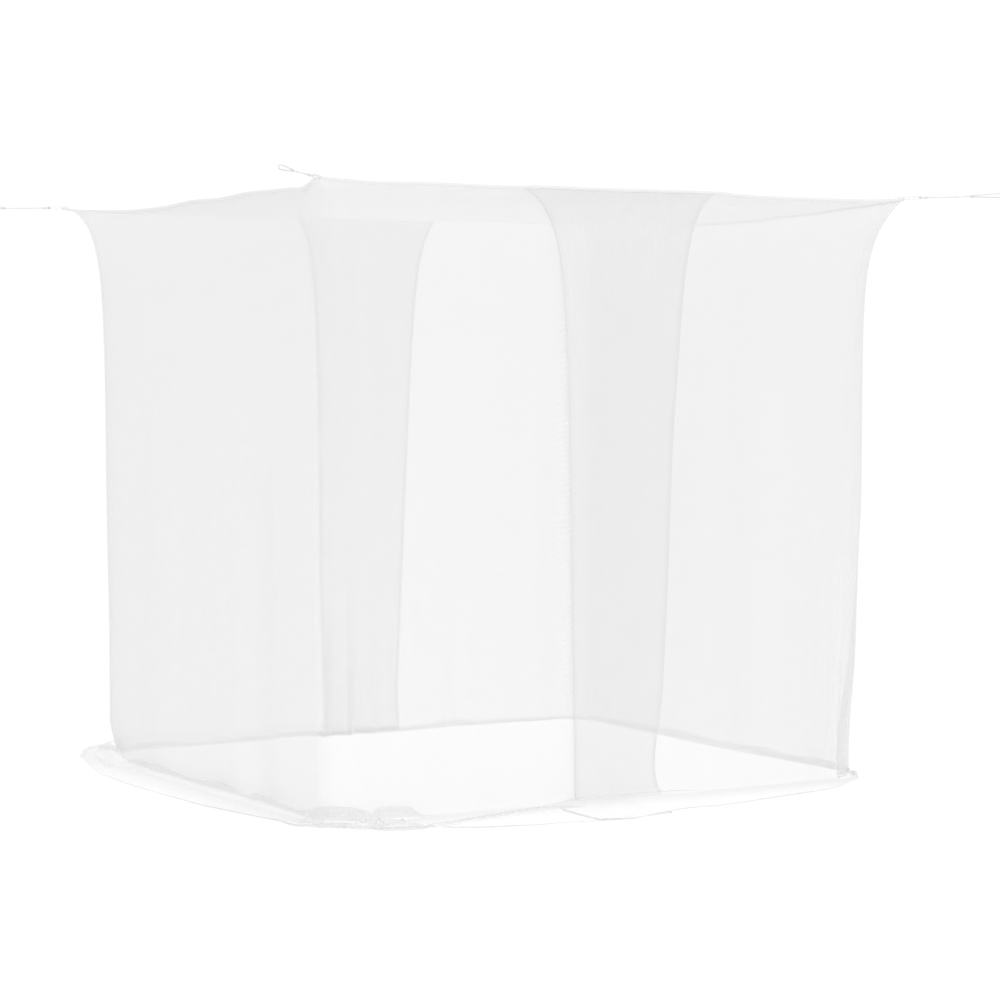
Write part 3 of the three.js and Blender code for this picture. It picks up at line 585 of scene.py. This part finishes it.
weave = {
    "columnStep": 0.0105,
    "side": 2.0,             # a side's length, for the number of its columns
    "cornerShare": 0.095,    # columns keep even steps this far past each corner
    "wallRows": 44,
    "wallPower": 1.35,       # rows are closer near the seam
    "footRows": 146,
    "footPower": 1.5,        # and near the hem
    "hemRows": (0.25, 0.5, 0.75, 1.0),         # rows across the hem, as shares of its width
    "edgeColumns": (0, 0.12, 0.5, 1.0),        # columns in from a free edge
    "footHeight": 0.13,      # the foot's section takes over from the wall this far above the floor
    "wallRun": 1.82,         # depth where it does, as the free edges measure it
    "footRun": 0.39,
    "floorRun": 1.947,       # depth of the floor
    "slantFrom": 0.25,       # the free edges start to slant this far along the foot's section
    "hemWidth": 0.013,       # hems and free edges are turned back this far
    "hemGap": 0.0014,
    "curlPower": 1.5,        # the hem's rows rise with this power of their share
    "curlFade": 0.03,
    "creaseFrom": 0.004,     # creases are full from this far outside the wall on
    "swellEnd": 1 / 3,       # swells end where the cloth has turned this far to the floor
    "lowest": 0.0008,
}


# place round the net, height in mm that the hem's edge is curled up to
hemCurl = [
    (0, 8), (0.03, 12), (0.07, 13), (0.11, 7), (0.2, 6), (0.34, 4), (0.5, 6), (0.62, 5), (0.8, 6.5),
    (0.95, 4), (1.2, 5), (1.5, 4), (1.8, 5.5), (2.1, 4), (2.5, 5), (2.8, 6), (3.05, 7), (3.3, 7.5),
    (3.55, 6), (3.75, 8), (3.9, 7), (3.97, 10), (4, 8),
]


# Weights of a uniform cubic B-spline with its end points held: each row sums to one.
def splineWeights(t, count):
    knots = np.concatenate([np.zeros(3), np.linspace(0, 1, count - 2), np.ones(3)])
    t = np.clip(t, 0, 1 - 1e-9)[:, None]
    basis = ((t >= knots[:-1]) & (t < knots[1:])).astype(float)
    for degree in (1, 2, 3):
        lower, upper = knots[: -degree - 1], knots[degree + 1:]
        spanLow = knots[degree:-1] - lower
        spanHigh = upper - knots[1:-degree]
        left = np.divide(t - lower, spanLow, out=np.zeros((len(t), len(lower))), where=spanLow > 0)
        right = np.divide(upper - t, spanHigh, out=np.zeros((len(t), len(lower))), where=spanHigh > 0)
        basis = left * basis[:, :-1] + right * basis[:, 1:]
    return basis


# Section of the cloth from the wall to the hem, as control points (out, up) of a B-spline: down the
# wall, up and over the slumped fold beside its foot, and out flat to the hem's reach. The fold is half
# wide to each side of its middle, and the cloth lies flat again from flat on.
def footSection(ridge, lean, reach, height):
    zero = np.zeros_like(ridge)
    half = np.minimum(0.006 + 0.30 * ridge, 0.2 * reach)
    middle = np.minimum(0.010 + half, 0.4 * reach)
    flat = np.minimum(middle + half + 0.012, 0.8 * reach)
    outs = [
        zero, zero, zero, zero + 0.001, middle - half - 0.002, middle - half * 0.6 + 0.2 * lean,
        middle - half * 0.35 + lean, middle + half * 0.35 + lean, middle + half * 0.6 + 0.2 * lean,
        middle + half + 0.004, flat, lerp(flat, reach, 0.33), lerp(flat, reach, 0.67), reach,
    ]
    ups = [
        zero + height, zero + height * 0.7, height * 0.3 + 0.45 * ridge, height * 0.09 + 0.2 * ridge, zero,
        0.35 * ridge, 1.28 * ridge, 1.28 * ridge, 0.3 * ridge, zero, zero, zero, zero, zero,
    ]
    return np.stack(np.broadcast_arrays(*outs)), np.stack(np.broadcast_arrays(*ups))


# Height and lean that the listed creases give: each runs through its rows (along the foot in sides,
# out from it in mm, height in mm) and has the section of a bell, 1.2 times its half width to a side.
def creaseHeights(creases, along, out):
    up = np.zeros_like(out)
    shift = np.zeros_like(out)
    for halfWidth, lean, rows in creases:
        table = np.array(rows, float)
        steps = np.linspace(0, len(table) - 1, 5 * len(table))
        rows = np.arange(len(table))
        line = np.stack([valueAt(np.column_stack([rows, table[:, k]]), steps) for k in range(3)], 1)
        near = np.full(out.shape, np.inf)
        tall = np.zeros_like(out)
        width = halfWidth * 1.2 * mm
        margin = 0.03      # sides; wider than any crease
        box = (along > line[:, 0].min() - margin) & (along < line[:, 0].max() + margin)
        for first, last in zip(line[:-1], line[1:]):
            ax, ay = first[0] * sideMetres, first[1] * mm
            dx, dy = (last[0] - first[0]) * sideMetres, (last[1] - first[1]) * mm
            px, py = along[box] * sideMetres - ax, out[box] - ay
            t = np.clip((px * dx + py * dy) / max(dx * dx + dy * dy, 1e-12), 0, 1)
            away = np.hypot(px - t * dx, py - t * dy)
            closer = away < near[box]
            nearHere, tallHere = near[box], tall[box]
            nearHere[closer] = away[closer]
            tallHere[closer] = (lerp(first[2], last[2], t) * mm)[closer]
            near[box], tall[box] = nearHere, tallHere
        bell = 0.5 + 0.5 * np.cos(math.pi * np.minimum(near / width, 1))
        up = np.maximum(up, tall * bell)
        shift += lean * mm * bell * (tall > 0)
    return up, shift


# Places round the net of the cloth's columns in every row: even steps, with the two end sides
# stretched to the slanting free edges.
def clothPlaces(cloth, depth, floorShare):
    corner = weave["cornerShare"]
    columnsFor = lambda share: max(8, int(round(abs(share) * weave["side"] / weave["columnStep"])))
    plainStart = freeEdgeShare(cloth["start"], corners[0, 2], 0)
    plainEnd = freeEdgeShare(cloth["end"], corners[0, 2], 0)
    hemShares = np.array(weave["edgeColumns"]) * weave["hemWidth"] / sideMetres
    startShare = freeEdgeShare(cloth["start"], depth, floorShare)[:, None]
    endShare = freeEdgeShare(cloth["end"], depth, floorShare)[:, None]
    first = np.linspace(0, 1, columnsFor(1 - corner - plainStart))[None, 1:]
    second = np.linspace(1 - corner, 2 + corner, columnsFor(1 + 2 * corner))[None, 1:]
    third = np.linspace(0, 1, columnsFor(plainEnd - corner))[None, 1:-1]
    head = startShare + hemShares[None]
    tail = endShare - hemShares[None, ::-1]
    places = np.concatenate([
        head,
        lerp(head[:, -1:], 1 - corner, first),
        np.repeat(second, len(depth), 0),
        2 + lerp(corner, tail[:, :1], third),
        2 + tail,
    ], 1)
    return cloth["firstSide"] + places


# How far the swells stand out: each is a bell across its width that grows with depth.
def swellOut(cloth, place, depth):
    out = np.zeros_like(place)
    for at, size, halfWidth, start, *over in cloth["swells"]:
        away = np.minimum(np.abs(place - at) / halfWidth, 1)
        grown = ease((depth - start) / (over[0] if over else settle["swellOver"]))
        out += size * mm * grown * (0.5 + 0.5 * np.cos(math.pi * away))
    return out


# How far the outer cloth of an overlap stands off the inner one: open along the overlap, and fading
# to nothing over a ramp past the inner cloth's free edge.
def standOff(cloth, side, share, depth, floorBlend):
    innerSide = freeEdges[cloth["inner"]][0]
    innerShare = freeEdgeShare(cloth["inner"], np.minimum(depth, overlap["edgeDepth"]), floorBlend)
    past = (share - innerShare) * footSide(innerSide)[3] - overlap["margin"]
    opened = lerp(overlap["seam"], overlap["wall"], ease(depth / overlap["depth"]))
    gap = (1 - ease(past / overlap["ramp"])) * lerp(opened, overlap["floor"], floorBlend)
    return np.where(side == innerSide, gap, 0)


# Middle surface of one wall cloth as rows of points from the roof seam to the hem.
def clothGrid(cloth):
    wallRows = weave["wallRows"]
    wallShare = np.linspace(0, 1, wallRows, endpoint=False) ** weave["wallPower"]
    t = 1 - (1 - np.linspace(0, 1, weave["footRows"])) ** weave["footPower"]
    hemRows = np.array(weave["hemRows"])
    count = len(t) + len(hemRows)
    slanting = ease((t - weave["slantFrom"]) / (1 - weave["slantFrom"]))
    onFloor = np.concatenate([np.zeros(wallRows), slanting, np.ones(len(hemRows))])
    footDepth = np.minimum(weave["wallRun"] + weave["footRun"] * t, weave["floorRun"])
    hemDepth = np.full(len(hemRows), weave["floorRun"])
    edgeDepth = np.concatenate([wallShare * weave["wallRun"], footDepth, hemDepth])
    place = clothPlaces(cloth, edgeDepth, onFloor)
    around = place % 4
    side = np.floor(around).astype(int) % 4
    share = around - side
    edge = roofEdge(side, share)
    footAt, outwards = footPoint(side, share)
    reach = valueAt(cloth["hem"], place) * mm
    ridge = valueAt(cloth["ridge"], place) * mm
    lean = valueAt(cloth["lean"], place) * mm
    height = weave["footHeight"]
    full = edge[..., 2] - height
    wallDepth = wallTop + (full - wallTop) * np.concatenate([wallShare, np.ones(count)])[:, None]
    below = slice(wallRows, None)
    bend = slice(wallRows, wallRows + len(t))
    controlOut, controlUp = footSection(ridge[bend], lean[bend], reach[bend] - weave["hemWidth"], height)
    weights = splineWeights(t, len(controlOut))
    hemOut = reach[wallRows + len(t):] - weave["hemWidth"] * (1 - hemRows)[:, None]
    atHem = place[wallRows + len(t):]
    curled = 1 - ease((atHem - cloth["curlEnd"]) / weave["curlFade"])
    curl = valueAt(hemCurl, atHem % 4) * curled * mm * (hemRows ** weave["curlPower"])[:, None]
    sectionOut = np.concatenate([np.einsum("rk,krc->rc", weights, controlOut), hemOut])
    sectionUp = np.concatenate([np.maximum(np.einsum("rk,krc->rc", weights, controlUp), 0), curl])
    creaseUp, creaseShift = creaseHeights(cloth["creases"], place[below], sectionOut)
    sectionUp = sectionUp + creaseUp * ease(sectionOut / weave["creaseFrom"])
    sectionOut = sectionOut + creaseShift
    out = np.concatenate([np.zeros((wallRows, place.shape[1])), sectionOut])
    up = np.concatenate([edge[:wallRows, :, 2] - wallDepth[:wallRows], sectionUp])
    depth = np.concatenate([wallDepth[:wallRows], edge[below, :, 2] - sectionUp])
    weight = settled(depth, valueAt(hangs, around, 1) * mm, valueAt(hangs, around, 2))
    standing = 1 - ease((depth - settle["standFrom"]) / settle["standOver"])
    stand = valueAt(hangs, around, 3) * mm * weight * standing
    fade = 1 - ease(onFloor / weave["swellEnd"])[:, None]
    out = out + (stand + swellOut(cloth, place, depth)) * fade
    flat = lerp(edge[..., :2], footAt, weight[..., None]) + outwards * out[..., None]
    points = np.concatenate([flat, up[..., None]], -1)
    gap = standOff(cloth, side, share, depth, onFloor[:, None])
    points = points + gridNormals(points) * gap[..., None]
    points[..., 2] = np.maximum(points[..., 2], weave["lowest"])
    points[..., 0] += roof["centre"][0]
    points[..., 1] += roof["centre"][1]
    return points, place


# Hem at the last rows of a grid: the rows before the edge again, in reverse, on its upper side.
def turnBack(points, count, gap):
    normals = gridNormals(points)
    rows = points[-2:-2 - count:-1] + normals[-2:-2 - count:-1] * gap
    edge = points[-1:] + normals[-1:] * gap * 0.5
    return np.concatenate([points, edge, rows])


netFinish = {
    "pitch": 0.0022,      # across the holes
    "cover": 0.33,        # share of light that the threads stop, seen square on
    "contrast": 0.6,      # threads against holes
    "yarn": "#e8e8e8",
    # the roof's yarn is the walls' white yarn painted lighter: painted light for the light that reaches the
    # roof's underside
    "roofYarnPaintedLight": "#f7f7f7",
}


# Warp-knitted polyester net, white and matt: threads cross at 60 degrees round fine holes, and the
# cloth closes up when it is seen along its surface: 1 minus (1 - cover)^(1 / cosine).
def meshNet(name, settings, yarn):
    material, tree = newMaterial(name)
    uv = clothMap(tree)
    ways = [turnedMap(tree, uv, turn) for turn in (30, -30)]
    thread = compute(tree, "MAXIMUM", *[bands(tree, way, settings["pitch"]) for way in ways])
    middle = 0.70         # mean of the two waves' higher one
    contrast = settings["cover"] * settings["contrast"]
    stops = compute(tree, "MULTIPLY_ADD", thread, contrast, settings["cover"] - contrast * middle)
    facing = addNode(tree, "ShaderNodeLayerWeight", {}, {"Blend": 0.5}).outputs["Facing"]
    cosine = compute(tree, "MAXIMUM", compute(tree, "SUBTRACT", 1.0, facing), 0.04)
    through = compute(tree, "SUBTRACT", 1.0, stops)
    passed = compute(tree, "POWER", through, compute(tree, "DIVIDE", 1.0, cosine))
    surface(tree, {
        "Base Color": colour(yarn),
        "Roughness": 0.9,
        "Specular IOR Level": 0.1,
        "Alpha": compute(tree, "SUBTRACT", 1.0, passed),
    })
    return material


net = meshNet("polyester_mesh_net", netFinish, netFinish["yarn"])
# The roof's net is a lighter copy of the walls' net: painted light on its underside.
roofNet = meshNet("roof_mesh_net_painted_light", netFinish, netFinish["roofYarnPaintedLight"])

# Tape round the roof's edges and the tabs at its corners.
tapeShape = {"height": 0.009, "thickness": 0.002, "clearance": 0.0018, "endShare": 0.0032, "rounding": 0.0008}
tab = {
    "width": 0.012,
    "thickness": 0.0015,
    "rounding": 0.0006,
    "inner": 0.003,          # radius inside its bend
    "bendAt": 0.052,         # places out from the corner along the diagonal
    "root": -0.024,
    "lowerRoot": 0.003,
}
tapeFinish = {
    "weave": "#eeeeee",
    "stitch": "#dddfde",
    "stitchLength": 0.0032,
    "stitchRows": 0.0055,
    "rib": 0.0011,
}


# Woven cotton-polyester tape, bleached: dense and matt, ribbed across, with a line of stitches.
def wovenTape(settings):
    material, tree = newMaterial("woven_cotton_tape")
    uv = clothMap(tree)
    rib = bands(tree, uv, settings["rib"], "Y", 0.6)
    line = compute(tree, "GREATER_THAN", bands(tree, uv, settings["stitchRows"]), 0.955)
    dash = compute(tree, "GREATER_THAN", bands(tree, uv, settings["stitchLength"], "Y"), 0.25)
    stitch = compute(tree, "MULTIPLY", line, dash)
    bump = addNode(tree, "ShaderNodeBump", {}, {"Strength": 0.5, "Distance": 0.0003, "Height": rib})
    surface(tree, {
        "Base Color": mixColours(tree, stitch, settings["weave"], settings["stitch"]),
        "Roughness": 0.9,
        "Specular IOR Level": 0.1,
        "Normal": bump.outputs["Normal"],
    })
    return material


# The strap's line: in over the corner, round its bend and back under it.
def tabGrid(settings):
    radius = settings["inner"] + settings["thickness"] / 2
    turns = np.linspace(math.pi / 2, -math.pi / 2, 15)
    outs = np.concatenate([
        np.linspace(settings["root"], settings["bendAt"], 16, endpoint=False),
        settings["bendAt"] + radius * np.cos(turns),
        np.linspace(settings["bendAt"], settings["lowerRoot"], 13)[1:],
    ])
    ups = np.concatenate([np.full(16, radius), radius * np.sin(turns), np.full(12, -radius)])
    line = np.stack([outs, 0 * outs, ups + cord["level"]], 1)
    section = roundedSection(settings["width"], settings["thickness"], settings["rounding"])
    return sweepGrid(line, (0, 1, 0), section)


tape = wovenTape(tapeFinish)
for name, corner in zip(cornerNames, corners):
    points = atCorner(tabGrid(tab), corner)
    strap = addGrid("corner_strap_" + name, points, tape, sweptUv(points))
    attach(strap, "root")
    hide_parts("corner_tab_" + name)

outerCloths = {0: clothRight, 2: clothLeft}
for side, name in enumerate(("front", "right", "back", "left")):
    share = np.linspace(tapeShape["endShare"], 1 - tapeShape["endShare"], 240)
    sides = np.full(len(share), side)
    outset = tapeShape["clearance"] + tapeShape["thickness"] / 2
    if side in outerCloths:
        depths = np.full(len(share), tapeShape["height"])
        outset = outset + standOff(outerCloths[side], sides, share, depths, 0)
    line = roofEdge(sides, share, outset)
    line += (*roof["centre"], -tapeShape["height"] / 2)
    section = roundedSection(tapeShape["height"], tapeShape["thickness"], tapeShape["rounding"])
    points = sweepGrid(line, (0, 0, 1), section)
    binding = addGrid("edge_binding_" + name, points, tape, sweptUv(points))
    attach(binding, "root")
    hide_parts("edge_tape_" + name)
print("tapes and tabs")

# Wall cloths, each with its hem and free edges turned back.
for cloth in (clothLeft, clothRight):
    points, places = clothGrid(cloth)
    hemCount, edgeCount, gap = len(weave["hemRows"]), len(weave["edgeColumns"]) - 1, weave["hemGap"]
    points = turnBack(points, hemCount, gap)
    points = np.swapaxes(turnBack(np.swapaxes(points, 0, 1), edgeCount, -gap), 0, 1)
    flipped = np.swapaxes(points[:, ::-1], 0, 1)
    points = np.swapaxes(turnBack(flipped, edgeCount, gap), 0, 1)[:, ::-1]
    u = places * foot["length"]
    u = np.concatenate([u, u[-1:], u[-2:-2 - hemCount:-1]])
    u = np.concatenate([u[:, edgeCount + 1:0:-1], u, u[:, -1:], u[:, -2:-2 - edgeCount:-1]], 1)
    uv = np.stack([u, runLength(points, 0)], -1)
    piece = addGrid(cloth["name"], points, net, uv)
    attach(piece, "root")
    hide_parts(cloth["node"])
    print(cloth["name"], points.shape, "lowest", points[..., 2].min())


# Surface spanned by the four hanging edges: the two ruled surfaces between facing edges, less the flat
# one through the corners, lowered in the middle by sag times 16 u(1-u) v(1-v).
def roofGrid(count=150):
    u = np.linspace(0, 1, count)[None, :].repeat(count, 0)
    v = np.linspace(0, 1, count)[:, None].repeat(count, 1)
    zero = np.zeros_like(u, int)
    front, back = roofEdge(zero, u), roofEdge(zero + 2, 1 - u)
    left, right = roofEdge(zero + 3, 1 - v), roofEdge(zero + 1, v)
    w = lambda a: a[..., None]
    points = front * w(1 - v) + back * w(v) + left * w(1 - u) + right * w(u)
    ends = [corners[i, :3] * (roof["length"] / 2, roof["width"] / 2, 1) for i in range(4)]
    points -= w((1 - u) * (1 - v)) * ends[0] + w(u * (1 - v)) * ends[1]
    points -= w(u * v) * ends[2] + w((1 - u) * v) * ends[3]
    points[..., 2] -= roof["sag"] * 16 * u * (1 - u) * v * (1 - v) + roof["under"]
    points[..., 0] += roof["centre"][0]
    points[..., 1] += roof["centre"][1]
    return points[::-1]


roofPoints = roofGrid()
roofPiece = addGrid("roof_net", roofPoints, roofNet, sweptUv(roofPoints))
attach(roofPiece, "root")
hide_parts("roof_panel")
print("roof")

# Floor and light.
studio = {
    "background": 1.02,      # radiance that the camera sees
    "floor": 1.02,
    "floorHalf": 60,
    "fill": 0.955,           # light from all round on the cloth
    "bounce": 1.085,         # light from the floor on the cloth
    "top": 1.0,              # soft light from above
    "front": 0.22,           # soft light from beside the camera
}


# One strength for the camera and another for light on the cloth.
def glowing(tree, seen, lit, kind="ShaderNodeEmission"):
    path = addNode(tree, "ShaderNodeLightPath")
    soft = addNode(tree, kind, {}, {"Color": (1, 1, 1, 1), "Strength": lit})
    plain = addNode(tree, kind, {}, {"Color": (1, 1, 1, 1), "Strength": seen})
    return addNode(tree, "ShaderNodeMixShader", {}, {
        0: path.outputs["Is Camera Ray"], 1: soft.outputs[0], 2: plain.outputs[0]})


# White floor, far wider than the view, that also lights the cloth from below.
def addFloor(settings):
    material, tree = newMaterial("white_floor")
    glow = glowing(tree, settings["floor"], settings["bounce"])
    out = addNode(tree, "ShaderNodeOutputMaterial")
    tree.links.new(glow.outputs[0], out.inputs["Surface"])
    mesh = bpy.data.meshes.new("floor")
    half = settings["floorHalf"]
    square = [(-half, -half, 0), (half, -half, 0), (half, half, 0), (-half, half, 0)]
    mesh.from_pydata(square, [], [(0, 1, 2, 3)])
    mesh.materials.append(material)
    floor = bpy.data.objects.new("floor", mesh)
    bpy.context.scene.collection.objects.link(floor)


def addSun(name, strength, turn, width):
    sun = bpy.data.lights.new(name, "SUN")
    sun.energy = strength
    sun.angle = math.radians(width)
    lamp = bpy.data.objects.new(name, sun)
    lamp.rotation_euler = [math.radians(angle) for angle in turn]
    bpy.context.scene.collection.objects.link(lamp)


def addLight(settings):
    world = bpy.data.worlds.new("studio")
    bpy.context.scene.world = world
    world.use_nodes = True
    tree = world.node_tree
    tree.nodes.clear()
    glow = glowing(tree, settings["background"], settings["fill"], "ShaderNodeBackground")
    out = addNode(tree, "ShaderNodeOutputWorld")
    tree.links.new(glow.outputs[0], out.inputs["Surface"])
    addSun("overhead", settings["top"], (0, 0, 0), 12)
    addSun("front", settings["front"], (75, 0, 0), 40)


addFloor(studio)
addLight(studio)
scene = bpy.context.scene
scene.view_settings.view_transform = "Standard"
scene.cycles.transparent_max_bounces = 48
scene.cycles.max_bounces = 6
